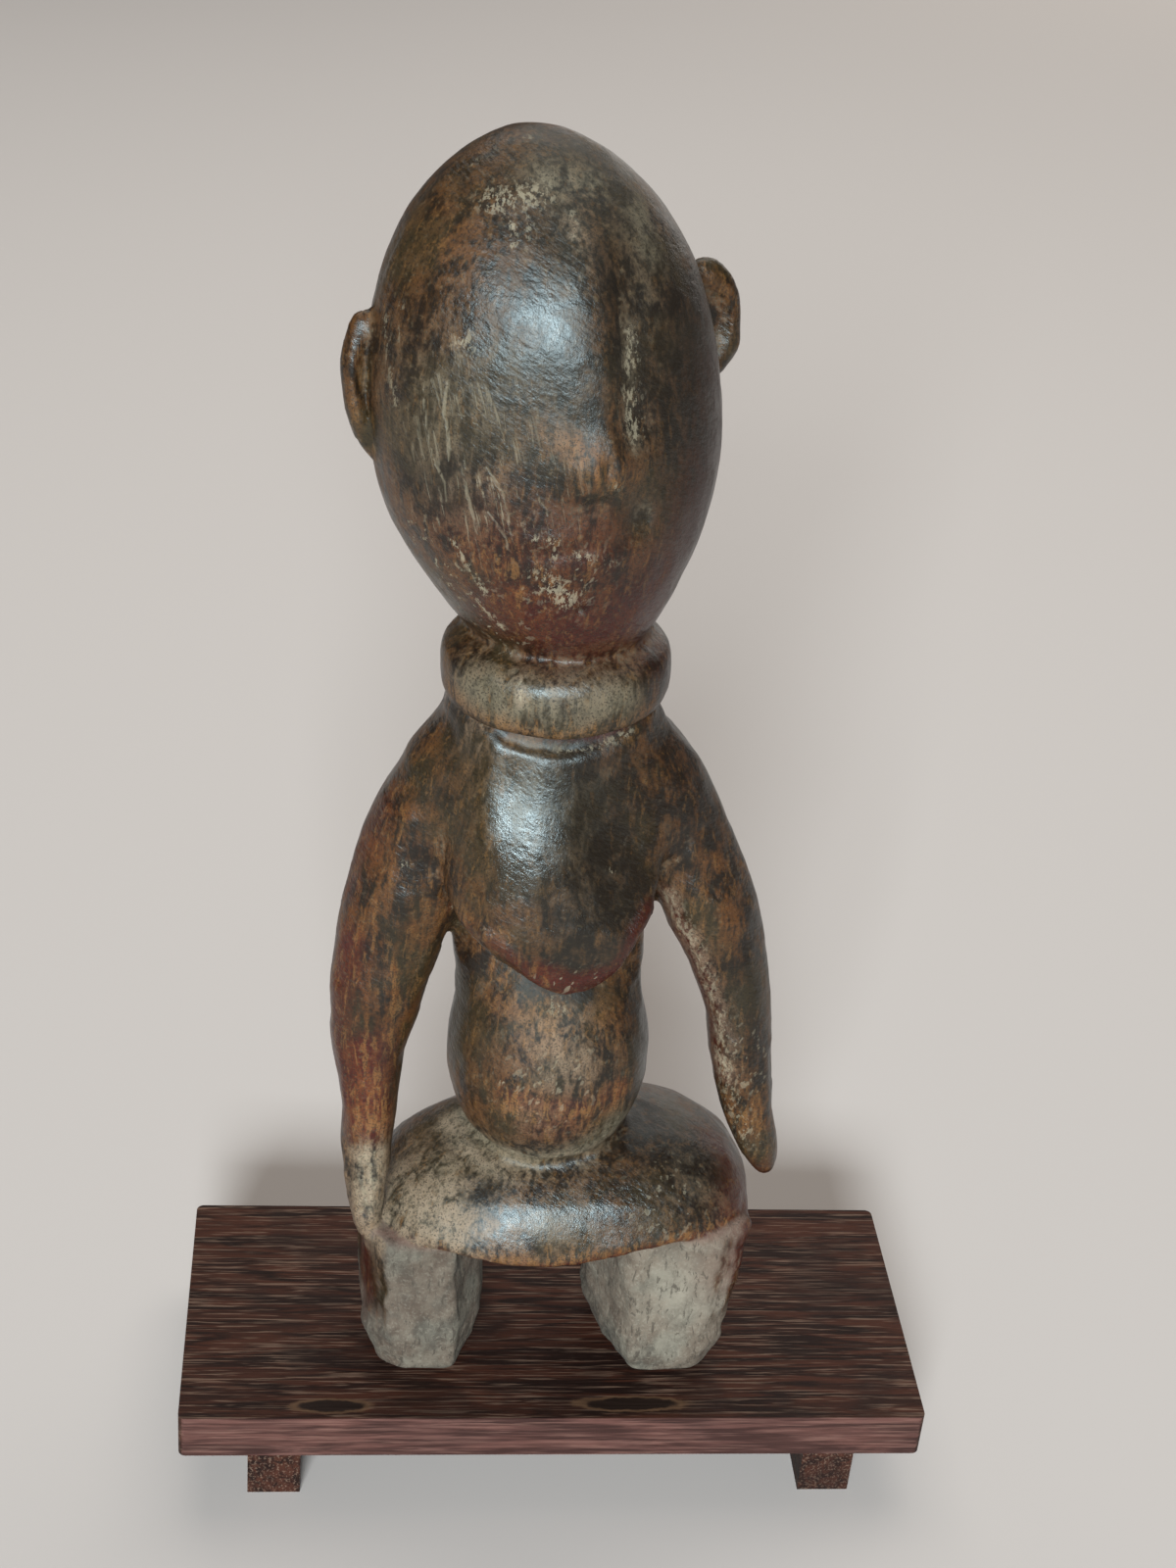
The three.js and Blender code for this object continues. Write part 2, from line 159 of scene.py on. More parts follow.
# What handling, smoke and wear left where: width, strength, then the points that a stroke runs through.
MARKS = {
    # Warm wood rubbed through: nose, left jaw, collar, arms, lip, belly, rim of the hips.
    "ochre": (
        (14, 0.3, (-61, -32, 512)),
        (4.5, 1.0, (-13, -60, 450), (-7, -58, 446)),
        (15, 0.5, (-46, -52, 414), (-32, -56, 404)),
        (7, 0.5, (-33, -56, 463), (-23, -59, 455)),
        (7, 0.9, (-26, -58, 459), (-14, -59, 452), (-8, -57, 448)),
        (5, 0.5, (-26, -20, 533), (-18, -45, 495), (-12, -53, 463)),
        (4, 1.0, (-73, -30, 241), (-73, -29, 214), (-75, -28, 188), (-77, -29, 165)),
        (22, 0.35, (-60, -24, 325), (-68, -27, 297), (-76, -24, 262), (-80, -22, 220)),
        (12, 0.8, (-76, -26, 200), (-79, -26, 170)),
        (2.2, 1.0, (-49, -36, 272), (-44, -51, 277), (-37, -56, 275), (-31, -59, 270), (-25, -58, 262),
         (-18, -55, 253)),
        (12, 0.7, (-33, -27, 238)),
        (16, 0.7, (-16, -36, 222)),
        (14, 0.5, (14, -34, 215)),
        (9, 0.9, (-27, -41, 187), (-6, -44, 184), (16, -34, 187)),
        (4.5, 1.0, (-76, -32, 118), (-52, -43, 119), (-23, -48, 117), (-7, -49, 116), (15, -48, 119),
         (34, -46, 122), (50, -42, 123), (63, -35, 122)),
        (24, 0.45, (-64, -36, 128), (-45, -42, 124)),
        (10, 0.5, (24, -17, 330), (34, -22, 305), (52, -26, 262)),
        (10, 0.6, (66, -26, 170)),
        (4.5, 0.8, (-56, -28, 355), (-51, -35, 353), (-39, -45, 352), (-27, -49, 351), (-8, -48, 352),
         (11, -36, 356)),
    ),
    # Reddish: painted reflection of a red surround on the right of the face, jaw, chin and lip; painted shade
    # under the collar on the neck; a reddish film on the left arm, rim and outer sides of the stumps.
    "red": (
        (28, 0.75, (-40, -48, 394), (-15, -50, 388), (10, -45, 394)),
        (38, 0.9, (30, -20, 425), (22, -30, 398)),
        (30, 0.5, (-50, -48, 425), (-20, -55, 420)),
        (30, 0.6, (34, -20, 470), (34, -20, 440)),
        (4.2, 1.0, *LIP),
        (8, 1.0, (-21, -56, 258), (-10, -54, 251), (0, -54, 254)),
        (4, 1.0, (-50, -24, 350), (-38, -31, 345), (-20, -34, 343), (-4, -33, 344), (8, -27, 348)),
        (8, 0.6, (-27, -40, 189), (-9, -43, 186), (16, -33, 188)),
        (20, 0.5, (-10, -44, 180)),
        (12, 0.9, (-88, -20, 245), (-91, -18, 205), (-88, -22, 165)),
        (14, 1.0, (-80, -28, 200), (-81, -28, 165)),
        (8, 0.9, (26, -23, 269), (36, -23, 250), (50, -22, 216), (56, -22, 190)),
        (12, 0.8, (68, -20, 124), (62, -5, 140)),
        (4, 0.9, (-76, -32, 116), (-52, -43, 117), (-23, -48, 114), (-7, -49, 113), (15, -48, 116),
         (34, -46, 119), (50, -42, 120), (63, -35, 120)),
        (14, 0.8, (-86, 10, 470)),
        (14, 1.0, (-82, -22, 118), (-80, -22, 78)),
        (22, 0.9, (74, -22, 130), (72, -28, 100)),
        (16, 0.6, (-80, -10, 100)),
        (16, 0.6, (-82, -14, 300), (-90, -12, 265)),
    ),
    # Flaked or rubbed bare: crown, beside the keel, mouth, chin, jaw, collar, inner right arm, stumps.
    "pale": (
        (3, 0.5, *CREASE),
        (1.8, 0.6, (-46, -29, 344), (-36, -34, 340), (-20, -37, 337.5), (-6, -36, 339), (6, -31, 343)),
        (4.2, 0.6, (-9, -42, 490), (-8, -45, 481)),
        (4.8, 0.65, (-8, -48, 473), (-5, -50, 460)),
        (2.5, 0.7, (-83, -25, 486), (-81, -30, 477), (-79, -35, 462)),
        (2, 0.7, (-78, -30, 492), (-78, -33, 483)),
        (1.6, 1.0, (-35, -58, 427), (-26, -59, 427)),
        (1.5, 1.0, (-29, -59, 427), (-28, -58, 421)),
        (1.6, 1.0, (-21, -58, 422), (-8, -53, 418)),
        (7, 0.8, (-30, -54, 411), (-23, -54, 405)),
        (1.8, 0.9, (-60, -46, 420), (-54, -47, 411), (-48, -46, 401)),
        (1.8, 0.9, (-51, -42, 397), (-42, -41, 387)),
        (2.5, 0.9, (-53, -34, 289), (-51, -22, 262)),
        (2.2, 0.5, (-28, -30, 524), (-26, -43, 506), (-22, -50, 487)),
        (7, 0.45, (-78, -28, 152), (-78, -30, 130)),
        (6, 0.6, *ARM_EDGE),
        (7, 0.5, (57, -25, 190), (68, -27, 160)),
        (6, 0.7, (-52, -27, 526), (-38, -27, 528)),
        (1.6, 0.9, (-41, -32, 522), (-41, -37, 515)),
        (1.6, 0.9, (-46, -33, 521), (-46, -37, 515)),
        (1.3, 0.8, (-58, -15, 533), (-41, -10, 541)),
        (1.3, 0.6, (-30, -12, 541), (-12, -8, 537)),
        (2, 1.0, *COLLAR_SCUFF),
        (5, 0.7, (-11, -34, 227)),
        (2, 1.0, (-30, -38, 195)),
        (1.6, 1.0, (-70, -27, 283)),
        (2, 1.0, (28, -26, 288)),
        (1.6, 1.0, (2, -48, 296)),
        (2, 0.9, (42, -24, 252)),
        (5, 0.9, (-59, -45, 487)),
        (2.2, 1.0, (-10, -59, 446)),
        (26, 0.9, (48, -38, 90)),
        (8, 0.7, (-54, -38, 50)),
    ),
    # Thin grey film: crown, beside the keel, left temple, collar, waist, hips, tip of the left arm.
    "grey": (
        (22, 0.9, (-69, -26, 123), (-50, -41, 127)),
        (16, 0.8, (-50, -26, 139)),
        (12, 1.0, *CREASE),
        (7, 1.0, (-46, 0, 143), (-37, -26, 147), (-20, -36, 148), (0, -38, 151), (18, -33, 160),
         (27, -20, 166)),
        (9, 0.9, *LEFT_TIP),
        (26, 0.8, (-62, -34, 132)),
        (20, 0.5, (50, -26, 138)),
        (14, 0.95, (-50, -36, 362), (-27, -50, 362), (0, -47, 364)),
        (9, 0.8, (-35, -23, 532), (-23, -20, 531)),
        (9, 0.6, (-7, -17, 522), (-3, -26, 511)),
        (7, 0.35, (-7, -26, 514), (-3, -36, 495)),
        (5, 0.45, (-9, -42, 492), (-8, -48, 473), (-5, -50, 458)),
        (24, 0.45, (-66, -45, 470), (-58, -50, 440)),
        (18, 0.5, (-32, -44, 322)),
        (20, 0.5, (-10, -44, 130)),
    ),
    # Thicker dust: hips, waist, belly, tip of the left arm, inner right arm.
    "khaki": (
        (28, 1.0, (-66, -30, 126), (-52, -40, 128)),
        (14, 0.6, (-40, -44, 122)),
        (9, 0.9, *LEFT_TIP),
        (7, 1.0, (-46, 0, 143), (-37, -26, 148), (-20, -36, 149), (0, -38, 152), (18, -33, 161),
         (27, -20, 167)),
        (6, 0.9, *ARM_EDGE),
        (3, 0.8, *COLLAR_SCUFF),
        (17, 0.6, (-14, -38, 216), (-6, -41, 204)),
        (14, 0.4, (-16, -44, 182)),
        (9, 0.5, (-50, -24, 345), (-46, -30, 338)),
        (5, 0.6, (-28, -30, 524), (-26, -43, 506)),
        (6, 0.3, (-32, -58, 464), (-22, -60, 456)),
    ),
    # Smoke-dark, with little brown in it: forehead, right of the face, left temple, chest, belly, hips.
    "smoky": (
        (44, 1.0, (-20, -30, 520), (-26, -50, 480)),
        (30, 0.9, (16, -36, 480), (20, -40, 440)),
        (26, 0.7, (-62, -30, 470)),
        (26, 1.0, (-18, -46, 315), (-8, -50, 285)),
        (20, 0.9, (-12, -54, 268)),
        (20, 0.6, (10, -38, 200)),
        (26, 0.5, (20, -46, 130)),
    ),
    # Painted shade: the shaded right of the head, chest, arms and hips, shadowed pits of the face, under the
    # collar on the neck, in the inner arms and the fold under the chest.
    "painted_shade": (
        (6, 0.5, (-64, -28, 300), (-76, -28, 235), (-73, -30, 190)),
        (8, 0.6, (50, -28, 290), (64, -26, 240), (72, -26, 190)),
        (3, 1.0, (-13, -57, 455)),
        (3.5, 1.0, (-48, -27, 349), (-38, -31, 346), (-20, -34, 344), (-4, -33, 345), (8, -27, 348)),
        (4, 0.9, (-1, -50, 433)),
        (34, 0.4, (-58, -39, 90)),
        (2.2, 1.0, (-17, -49, 399)),
        (22, 0.6, (-8, -41, 327), (4, -45, 298), (2, -45, 270)),
        (4, 0.5, (-19, -36, 514), (-14, -45, 497), (-8, -49, 478), (-4, -52, 460)),
        (30, 0.9, (24, -28, 490), (28, -26, 450), (24, -22, 410)),
        (20, 0.7, (25, -17, 330), (38, -24, 298)),
        (12, 0.6, (56, -22, 250), (62, -22, 210)),
        (14, 0.5, (-50, -24, 335), (-58, -24, 315)),
        (16, 0.7, (24, -18, 218), (24, -14, 190)),
        (12, 0.6, (-46, -12, 228), (-44, -10, 200)),
        (26, 0.35, (-4, -50, 400), (10, -45, 410)),
        (26, 0.6, (27, -11, 152), (47, -20, 144)),
        (10, 0.6, (-34, -38, 140)),
        (16, 0.6, (16, -30, 362)),
        (5, 1.0, (-47, -22, 254), (-38, -27, 244), (-26, -30, 237), (-12, -30, 231), (0, -30, 231),
         (10, -28, 241), (16, -25, 253)),
        (14, 0.5, (-64, -40, 440)),
        (9, 0.6, (-12, -48, 440), (-4, -48, 436)),
        (12, 0.5, (-60, -10, 156)),
    ),
    # Handled to a shine: forehead, collar, chest, hips, left forearm.
    "polish": (
        (10, 1.0, (-34, -48, 496)),
        (18, 1.0, (-37, -42, 336), (-35, -47, 305)),
        (16, 0.7, (-18, -54, 290)),
        (16, 0.9, (-28, -47, 130), (-4, -48, 130)),
        (12, 0.6, (-27, -48, 366)),
        (8, 0.6, (-72, -28, 215)),
    ),
    # Without shine: belly, crown, neck, and a little over the whole face.
    "dull": (
        (26, 1.0, (-18, -30, 226), (-14, -40, 196)),
        (20, 0.7, (8, -42, 200)),
        (60, 0.35, (-20, -40, 500), (-20, -50, 450)),
        (30, 0.8, (-14, -30, 535)),
        (7, 1.0, (-50, -24, 347), (-38, -31, 343), (-20, -34, 340), (-4, -33, 341), (8, -27, 345)),
    ),
    # Where fine scratches lie close together, on the left cheek.
    "scored": (
        (26, 0.8, (-58, -50, 458)),
        (24, 1.0, (-48, -56, 440)),
        (20, 0.9, (-58, -46, 432)),
        (14, 0.7, (-32, -58, 445)),
    ),
    # Single deep scratches on the left cheek.
    "scratched": (
        (1.3, 1.0, (-71, -44, 467), (-69, -45, 455), (-67, -46, 448), (-64, -48, 442), (-63, -48, 434)),
        (1.3, 1.0, (-64, -48, 475), (-65, -48, 466), (-63, -49, 458), (-63, -50, 449)),
        (1.3, 1.0, (-59, -52, 449), (-56, -52, 438), (-53, -53, 428)),
        (1.3, 0.9, (-51, -55, 450), (-45, -56, 441), (-42, -57, 428)),
        (1.3, 0.9, (-50, -55, 435), (-44, -56, 427), (-42, -55, 420)),
        (1.1, 0.9, (-43, -57, 450), (-41, -58, 444)),
        (1.0, 0.7, (-39, -55, 476), (-43, -55, 469), (-44, -56, 460)),
        (1.1, 0.8, (-61, -50, 466), (-54, -53, 463)),
        (1.2, 0.9, (-34, -58, 442), (-31, -59, 436)),
    ),
    # Small pale flecks: left jaw, chin, lip, belly, right forearm, hips.
    "flecked": (
        (14, 1.0, (-70, -36, 412), (-56, -42, 396), (-44, -40, 384)),
        (16, 0.8, (-26, -55, 412)),
        (24, 0.6, (60, -26, 195)),
        (24, 0.6, (-12, -40, 195)),
        (20, 0.6, (40, -40, 138)),
        (8, 0.9, (-18, -55, 254), (-2, -53, 250)),
    ),
}

# Colours of the patina, from the wood under it to what is rubbed bare.
DARK_BROWN, WARM_BROWN, OLIVE_BROWN = (0.012, 0.0058, 0.0026), (0.072, 0.029, 0.0080), (0.038, 0.026, 0.010)
SMOKE_DARK, SMOKE_LIGHT = (0.014, 0.0105, 0.0065), (0.036, 0.027, 0.0155)
# The first colour on the next line is partly a red film and partly painted reflection of a red surround and
# painted shade.
RED_FILM_AND_REFLECTION, TAN, OCHRE = (0.055, 0.0040, 0.0014), (0.175, 0.084, 0.025), (0.19, 0.062, 0.009)
GREY_FILM, KHAKI, PALE_SPECK = (0.165, 0.148, 0.100), (0.25, 0.188, 0.125), (0.15, 0.110, 0.060)
# The second colour on the next line is painted shade.
GRIME, PAINTED_SHADE_BROWN, BARE_WOOD = (0.007, 0.0045, 0.003), (0.008, 0.0055, 0.004), (0.30, 0.26, 0.175)
# Colours of the split wood of the legs.
SPLIT_DARK, SPLIT_LIGHT, SPLIT_BROWN = (0.056, 0.045, 0.033), (0.160, 0.143, 0.109), (0.105, 0.065, 0.043)
SPLIT_SHADE, SPLIT_SPECK, SPLIT_PALE = (0.060, 0.056, 0.044), (0.25, 0.225, 0.175), (0.26, 0.235, 0.18)
# The last colour on the next line is painted shade on the split wood.
SPLIT_RED, CRACK, SPLIT_PAINTED_SHADE = (0.14, 0.055, 0.038), (0.045, 0.034, 0.024), (0.055, 0.045, 0.034)
# Colours of the stand.
BOARD_DARK, BOARD_LIGHT, BOARD_PORE = (0.010, 0.0038, 0.0025), (0.046, 0.0150, 0.0082), (0.17, 0.108, 0.075)
BOARD_SHADE, KNOT_RING, KNOT_HEART = (0.013, 0.006, 0.0045), (0.085, 0.046, 0.025), (0.012, 0.006, 0.004)
FRONT_DARK, FRONT_LIGHT = (0.040, 0.017, 0.014), (0.130, 0.060, 0.050)

# The knots in the board: centre, half length along the grain, half width.
KNOTS = (((-90, -56), 15, 3.6), ((30, -55), 21, 3.9))
# Where the board's worn front face begins, on the way to its front edge at 63.
FRONT_FACE = (62.3, 62.8)
# The stand's CAD nodes: name, material slot, axis of the grain, knots.
STAND = (
    ("stand_board", "board_wood", 0, KNOTS),
    ("stand_batten_left", "batten_wood", 1, ()),
    ("stand_batten_right", "batten_wood", 1, ()),
)


def turned(turn, lean):
    """Rotation that swings the front towards +X and tips the top towards -X, in degrees."""
    a, b = math.radians(turn), math.radians(lean)
    swing = np.array([[math.cos(a), -math.sin(a), 0], [math.sin(a), math.cos(a), 0], [0, 0, 1]])
    tip = np.array([[math.cos(b), 0, -math.sin(b)], [0, 1, 0], [math.sin(b), 0, math.cos(b)]])
    return tip @ swing


def local(grid, centre, turn):
    """A grid's points in the frame of a form that sits at centre and is turned."""
    x, y, z = (axis - c for axis, c in zip(grid, centre))
    r = turned(*turn)
    return tuple(r[0][i] * x + r[1][i] * y + r[2][i] * z for i in range(3))


def egg(grid, centre, turn, half, front, back, up, down,
        taper_x=0.0, taper_y=0.0, square_across=2.0, square_up=2.0, relief=None):
    """Distance field of a superellipsoid whose width and depth change with height."""
    x, y, z = local(grid, centre, turn)
    w = z / np.where(z > 0, up, down)
    c = np.clip(w, -1, 1)
    u = np.abs(x) / (half * (1 + taper_x * c))
    v = np.abs(y) / (np.where(y > 0, back, front) * (1 + taper_y * c))
    across = (u ** square_across + v ** square_across) ** (square_up / square_across)
    g = (across + np.abs(w) ** square_up) ** (1 / square_up)
    distance = np.sqrt(x * x + y * y + z * z) * (1 - 1 / np.maximum(g, 1e-3))
    return distance if relief is None else distance - relief(x, y, z)


def smooth_rows(z, stations):
    """Station values at each height, on a curve that passes through every station."""
    rows = np.array(sorted(stations), float)
    knots, values = rows[:, 0], rows[:, 1:]
    step = np.diff(knots)[:, None]
    slope = np.diff(values, axis=0) / step
    tangent = np.zeros_like(values)
    same = slope[:-1] * slope[1:] > 0
    tangent[1:-1] = np.where(same, 2 * slope[:-1] * slope[1:] / np.where(same, slope[:-1] + slope[1:], 1), 0)
    tangent[0], tangent[-1] = slope[0], slope[-1]
    zc = np.clip(z, knots[0], knots[-1])
    k = np.clip(np.searchsorted(knots, zc) - 1, 0, len(knots) - 2)
    t = ((zc - knots[k]) / np.diff(knots)[k])[:, None]
    h = step[k]
    p0, p1, m0, m1 = values[k], values[k + 1], tangent[k] * h, tangent[k + 1] * h
    return (((2 * t - 3) * t * t + 1) * p0 + ((t - 2) * t + 1) * t * m0
            + (3 - 2 * t) * t * t * p1 + (t - 1) * t * t * m1)


def sweep(grid, stations, square=2.1):
    """Distance field of a form swept up through its stations."""
    x, y, z = grid
    rows = smooth_rows(z[0, 0, :], stations)
    cx, cy, half, front, back = (rows[:, i][None, None, :] for i in range(5))
    dx, dy = x - cx, y - cy
    u, v = np.abs(dx) / half, np.abs(dy) / np.where(dy > 0, back, front)
    g = (u ** square + v ** square) ** (1 / square)
    side = np.sqrt(dx * dx + dy * dy) * (1 - 1 / np.maximum(g, 1e-3))
    low, high = min(s[0] for s in stations), max(s[0] for s in stations)
    end = np.maximum(z - high, low - z)
    return np.where(end > 0, np.sqrt(np.maximum(side, 0) ** 2 + end ** 2), np.maximum(side, end))


def join(a, b, soft):
    """Union of two fields with a fillet about soft millimetres wide."""
    h = np.maximum(soft - np.abs(a - b), 0) / soft
    return np.minimum(a, b) - h * h * soft * 0.25


def cut(a, b, soft):
    """Field a with b taken out of it, its new edge rounded."""
    return -join(-a, b, soft)


def meet(a, b, soft):
    """What is inside both fields, its new edge rounded."""
    return -join(-a, -b, soft)


def ease(v, low, high):
    """0 below low, 1 above high, smooth between."""
    t = np.clip((v - low) / (high - low), 0, 1)
    return t * t * (3 - 2 * t)


def wane(v, low, high):
    """1 below low, 0 above high, smooth between."""
    return ease(-v, -high, -low)


def face_relief(x, y, z):
    """The worn keel down the face, the groove beside it, and the swellings and pits of the features."""
    rise = np.clip((z - KEEL_FOOT) / KEEL_TALL, 0, 1)
    t = x - KEEL_START - KEEL_DRIFT * rise ** 1.3
    width = np.where(t > 0, KEEL_RIGHT, KEEL_LEFT)
    keel = KEEL_HEIGHT * np.exp(-((t / width) ** 2)) * wane(z, 70, 106) * ease(z, 6, 30)
    groove = -GROOVE_DEPTH * np.exp(-(((t - GROOVE_OFFSET) / GROOVE_WIDTH) ** 2))
    relief = keel + groove * ease(z, 14, 34) * wane(z, 62, 92)
    for name, ((cx, cz), wide, tall, height) in FACE.items():
        swelling = height * np.exp(-((x - cx) / wide) ** 2 - ((z - cz) / tall) ** 2)
        relief = relief + (swelling * ease(z, *NOSE_UNDERSIDE) if name == "nose" else swelling)
    return relief * (y < 0)


def on_head(point):
    """A point of the head's own frame, in the part's frame."""
    return tuple(np.array(HEAD["centre"]) + turned(*HEAD_TURN) @ np.array(point))


def head_field(grid):
    """The egg of the head with the worn face on it, and its two ears."""
    head = egg(grid, **HEAD, relief=face_relief)
    for (x, y, z), wide, tall in EARS:
        lobe = egg(grid, on_head((x, y, z)), HEAD_TURN, wide, EAR_DEPTH, EAR_DEPTH, tall, tall)
        wide, tall = HOLLOW_SHARE * wide, HOLLOW_SHARE * tall
        front = on_head((x, y - HOLLOW_FORWARD, z))
        hollow = egg(grid, front, HEAD_TURN, wide, HOLLOW_DEPTH, HOLLOW_DEPTH, tall, tall)
        head = join(head, cut(lobe, hollow, soft=1.5), soft=2)
    return head


def collar_field(grid):
    """The ring round the neck: rounded above, with a sharper lower edge."""
    height = local(grid, COLLAR["centre"], COLLAR["turn"])[2]
    return cut(egg(grid, **COLLAR), height + COLLAR_UNDERSIDE, soft=1.5)


def chest_field(grid):
    """The shield of the chest, two soft planes that meet on a keel and end in a thick lip."""
    x, y, z = grid
    shield = egg(grid, **CHEST)
    for (px, py, pz), (nx, ny, nz) in CHEST_PLANES:
        shield = meet(shield, nx * (x - px) + ny * (y - py) + nz * (z - pz), soft=4)
    left, right = (across * x + up * z + offset for across, up, offset in CHEST_EDGES)
    return meet(shield, meet(left, right, soft=20), soft=4.5)


def rim_height(x):
    """Height of the lower rim of the hips."""
    return np.interp(x, RIM_X, RIM_Z)


def hips_field(grid):
    """The broad seat of the hips, arched along its lower rim and cut flat on its left side."""
    x, y, z = grid
    flat = HIPS_FLAT[0] * x + HIPS_FLAT[1] * y + HIPS_FLAT[2]
    return meet(meet(egg(grid, **HIPS), flat, soft=2), rim_height(x) - z, soft=1.5)


def stump(grid, axis, faces):
    """A leg as the wood split: flat faces round an upright axis, rounded in at the foot."""
    x, y, z = grid
    dx, dy = x - axis[0], y - axis[1]
    field = z - rim_height(x) - LEG_LAP
    for angle, distance, slope in faces:
        a = math.radians(angle)
        face = dx * math.cos(a) + dy * math.sin(a) - distance + slope * (LEG_MIDDLE - z)
        field = meet(field, face, soft=3)
    foot = np.clip((FOOT_TOP - z) / FOOT_TALL, 0, 1)
    return field + FOOT_ROUNDING * foot * foot


def stumps(grid):
    """Both stumps of the legs."""
    left = stump(grid, LEG_LEFT_AXIS, LEG_LEFT_FACES)
    right = stump(grid, LEG_RIGHT_AXIS, LEG_RIGHT_FACES)
    return np.minimum(left, right)


def figure_field(grid):
    """The whole figure as one field, carved from one block."""
    x, _, z = grid
    trunk = join(sweep(grid, SHOULDERS), sweep(grid, TRUNK), soft=14)
    trunk = join(trunk, egg(grid, **BELLY), soft=9)
    trunk = join(trunk, sweep(grid, ARM_LEFT, ARM_SQUARE), soft=7)
    trunk = join(trunk, sweep(grid, ARM_RIGHT, ARM_SQUARE), soft=7)
    trunk = join(trunk, chest_field(grid), soft=1.5 + 12 * ease(z, 262, 312))
    above = z - NECK_TOP - NECK_BOW * (x - NECK_MIDDLE) ** 2
    trunk = meet(trunk, np.minimum(trunk + NECK_DEPTH, above), soft=0.8)
    body = join(join(trunk, hips_field(grid), soft=4), stumps(grid), soft=1.5)
    body = join(body, collar_field(grid), soft=1.5)
    body = join(body, head_field(grid), soft=1.5)
    return np.maximum(body, BOARD_TOP - z)


def mesh_object(name, points, faces):
    """A smooth-shaded mesh in the scene."""
    mesh = bpy.data.meshes.new(name)
    mesh.from_pydata([tuple(p) for p in points], [], [tuple(f) for f in faces])
    mesh.validate()
    for polygon in mesh.polygons:
        polygon.use_smooth = True
    mesh.update()
    piece = bpy.data.objects.new(name, mesh)
    bpy.context.scene.collection.objects.link(piece)
    return piece


def skin(field, low, size):
    """Quads on the field's zero surface, in millimetres."""
    volume = openvdb.FloatGrid()
    volume.copyFromArray(field.astype(np.float32), tolerance=0.0)
    points, _, quads = volume.convertToPolygons(isovalue=0.0, adaptivity=0.0)
    return points * size + np.array(low), quads.astype(int)


def vertex_normals(points, quads):
    """Unit normal at each vertex, from the faces round it."""
    a, b = points[quads[:, 2]] - points[quads[:, 0]], points[quads[:, 3]] - points[quads[:, 1]]
    face = np.cross(a, b)
    normal = np.zeros_like(points)
    for k in range(4):
        for axis in range(3):
            normal[:, axis] += np.bincount(quads[:, k], weights=face[:, axis], minlength=len(points))
    return normal / np.maximum(np.linalg.norm(normal, axis=1), 1e-9)[:, None]


class Web:
    """Which vertices of the carving are neighbours, for averaging over its surface."""

    def __init__(self, quads, count):
        sides = np.concatenate([quads[:, [k, (k + 1) % 4]] for k in range(4)])
        self.a = np.concatenate([sides[:, 0], sides[:, 1]])
        self.b = np.concatenate([sides[:, 1], sides[:, 0]])
        self.count = count
        self.share = np.bincount(self.a, minlength=count).astype(float)

    def mean(self, values):
        """Each vertex's value from its neighbours alone."""
        if values.ndim == 1:
            return np.bincount(self.a, weights=values[self.b], minlength=self.count) / self.share
        return np.stack([self.mean(values[:, k]) for k in range(values.shape[1])], 1)

    def spread(self, values, times):
        """Values averaged with their neighbours, a number of times."""
        for _ in range(times):
            values = 0.5 * values + 0.5 * self.mean(values)
        return values


def wander(points, size, octaves, seed):
    """Smooth noise from -1 to 1 over the surface, with swells of about size millimetres."""
    shift = Vector((seed, 1.7 * seed, 2.3 * seed))
    scaled = points / size
    return np.array([noise.fractal(Vector(p) + shift, 1.0, 2.0, octaves) for p in scaled.tolist()])


def tool_facets(points, normals, size, seed, deepest=1.4):
    """Height of the flat cuts that an adze leaves, each about size millimetres across."""
    keys = np.floor(points / size + seed).astype(int)
    _, first = np.unique(keys, axis=0, return_index=True)
    tree = KDTree(len(first))
    for n, index in enumerate(first):
        tree.insert(points[index], n)
    tree.balance()
    near = first[np.array([tree.find(p)[1] for p in points.tolist()])]
    gap = ((points[near] - points) * normals[near]).sum(1)
    facing = np.maximum((normals * normals[near]).sum(1), 0.5)
    return np.clip(gap / facing, -deepest, deepest)


def marks(points, strokes):
    """0 to 1: how near each vertex is to the nearest of some strokes."""
    value = np.zeros(len(points))
    for width, strength, *path in strokes:
        path = np.array(path, float)
        for a, b in zip(path, path[1:] if len(path) > 1 else path):
            along = b - a
            t = np.clip((points - a) @ along / max(along @ along, 1e-6), 0, 1)
            gap = points - a - t[:, None] * along
            value = np.maximum(value, strength * np.exp(-1.2 * (gap ** 2).sum(1) / width ** 2))
    return value


def paint_masks(piece, web, points, normals, on_leg):
    """Stores on the carving where it is hollow, worn or split, and where each kind of mark is."""
    bend = ((web.mean(points) - points) * normals).sum(1)
    fine, broad = web.spread(bend, 3), web.spread(bend, 14)
    outward = np.where(points[:, 0] < 0, -normals[:, 0], normals[:, 0])
    split = 1 - ease(outward, 0.45, 0.75) * ease(points[:, 2], *PATINA_FROM)
    masks = {
        "leg": on_leg * split,
        "hollow": np.clip(fine * 9 + broad * 14, 0, 1),
        "edge": np.clip(-(fine * 7 + broad * 4) - 0.18, 0, 1),
    }
    masks.update({name: marks(points, strokes) for name, strokes in MARKS.items()})
    for name, values in masks.items():
        layer = piece.data.attributes.new(name, "FLOAT", "POINT")
        layer.data.foreach_set("value", values.astype(np.float32))


